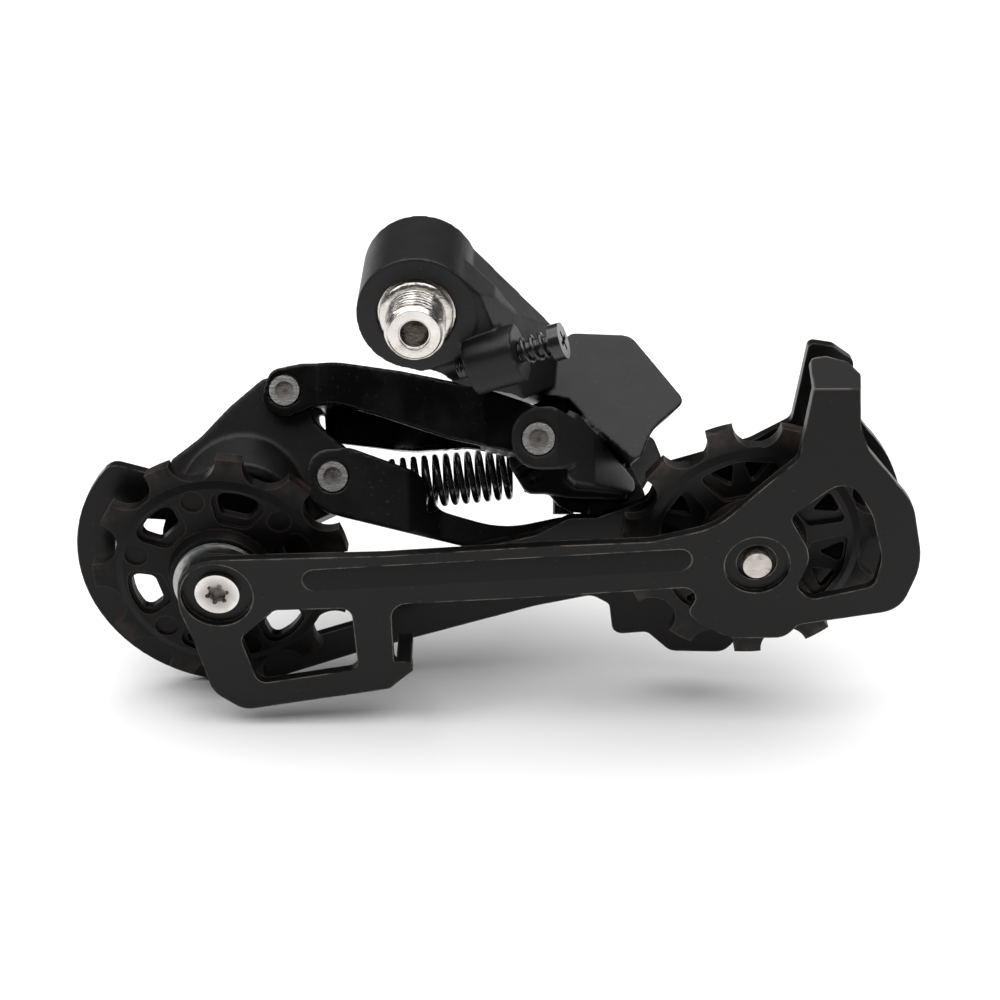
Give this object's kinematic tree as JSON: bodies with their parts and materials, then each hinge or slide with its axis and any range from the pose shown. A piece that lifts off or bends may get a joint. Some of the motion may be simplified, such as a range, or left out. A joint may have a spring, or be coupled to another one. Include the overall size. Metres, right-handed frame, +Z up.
{
  "type": "bicycle rear derailleur",
  "caption": "Rear derailleur with a slanted parallelogram, a long sprung cage and toothed guide and tension pulleys, fixed by a hanger bolt.",
  "frame": {"origin": "hanger bolt's axis, in the plane of the mounting knuckle's inboard face", "axes": "+X rearward, +Y outboard (away from the wheel), +Z up; the bolt's thread points along -Y"},
  "size_m": [0.1509, 0.0539, 0.09],
  "materials": {
    "black_alloy": "satin",
    "black_steel": "semi-matt",
    "nylon": "matt",
    "nickel": "polished",
    "zinc": "satin",
    "cap_steel": "satin",
    "spring_steel": "oiled",
    "black_screw": "satin",
    "brass": "satin",
    "rubber": "matt"
  },
  "bodies": {
    "hanger_bolt": {"mount_bolt": "nickel", "bolt_clip": "nickel"},
    "b_knuckle": {"b_knuckle": "black_alloy", "b_bush": "brass", "b_seal": "rubber", "pin_upper_b": "zinc", "pin_lower_b": "zinc", "b_screw_spring": "spring_steel", "return_spring": "spring_steel"},
    "b_tension_screw": {"b_tension_screw": "black_screw"},
    "limit_screw_high": {"limit_screw_high": "black_screw"},
    "limit_screw_low": {"limit_screw_low": "black_screw"},
    "upper_link": {"upper_link": "black_alloy", "pin_upper_p": "zinc", "cable_bolt": "nickel", "cable_washer": "nickel"},
    "lower_link": {"lower_link": "black_alloy", "pin_lower_p": "zinc"},
    "p_knuckle": {"p_knuckle": "black_alloy", "p_bush": "brass", "p_spring": "zinc", "p_cap": "nylon", "p_seal": "rubber"},
    "cage": {"p_axle": "nickel", "cage_stop_pin": "zinc", "outer_cage_plate": "black_steel", "inner_cage_plate": "black_steel", "guide_screw": "nickel", "guide_bush": "nickel", "guide_cap_inner": "cap_steel", "guide_cap_outer": "cap_steel", "tension_axle": "nickel", "tension_bush": "nickel", "tension_cap_inner": "cap_steel", "tension_cap_outer": "cap_steel"},
    "guide_pulley": {"guide_pulley": "nylon"},
    "tension_pulley": {"tension_pulley": "nylon"}
  },
  "joints": [
    {"name": "b_pivot", "type": "hinge", "parent": "hanger_bolt", "child": "b_knuckle", "pos_m": [0, 0.01, 0], "axis": [0, 1, 0], "range_deg": [-30, 0]},
    {"name": "b_screw_travel", "type": "slide", "parent": "b_knuckle", "child": "b_tension_screw", "axis": [0.9276, -0.1304, 0.3502], "range_m": [-0.002, 0.001], "deforming": ["b_screw_spring"]},
    {"name": "high_screw_travel", "type": "slide", "parent": "b_knuckle", "child": "limit_screw_high", "axis": [0, 0.5299, 0.848], "range_m": [0, 0.003]},
    {"name": "low_screw_travel", "type": "slide", "parent": "b_knuckle", "child": "limit_screw_low", "axis": [0, 0.5299, 0.848], "range_m": [0, 0.003]},
    {"name": "shift", "type": "hinge", "parent": "b_knuckle", "child": "upper_link", "pos_m": [0.0203, 0.00642, -0.02747], "axis": [0, -0.848, 0.5299], "range_deg": [0, 65], "stiffness_Nm_per_rad": 0.6, "springref_deg": -45.84},
    {"name": "lower_swing", "type": "hinge", "parent": "b_knuckle", "child": "lower_link", "pos_m": [0.0292, 0.02009, -0.05465], "axis": [0, -0.848, 0.5299], "range_deg": [0, 65], "deforming": ["return_spring"]},
    {"name": "outer_swing", "type": "hinge", "parent": "upper_link", "child": "p_knuckle", "pos_m": [-0.0259, 0.03154, -0.03067], "axis": [0, -0.848, 0.5299], "range_deg": [-65, 0]},
    {"name": "cage_pivot", "type": "hinge", "parent": "p_knuckle", "child": "cage", "pos_m": [-0.034, 0.02, -0.046], "axis": [0, 1, 0], "range_deg": [0, 110], "stiffness_Nm_per_rad": 0.25, "springref_deg": -85.94},
    {"name": "guide_spin", "type": "hinge", "parent": "cage", "child": "guide_pulley", "pos_m": [-0.0365, 0.00305, -0.0515], "axis": [0, 1, 0], "continuous": true},
    {"name": "tension_spin", "type": "hinge", "parent": "cage", "child": "tension_pulley", "pos_m": [0.0586, 0.00305, -0.04535], "axis": [0, 1, 0], "continuous": true}
  ],
  "couplings": [
    {"joint": "lower_swing", "follows": "shift", "ratio": 1},
    {"joint": "outer_swing", "follows": "shift", "ratio": -1}
  ]
}
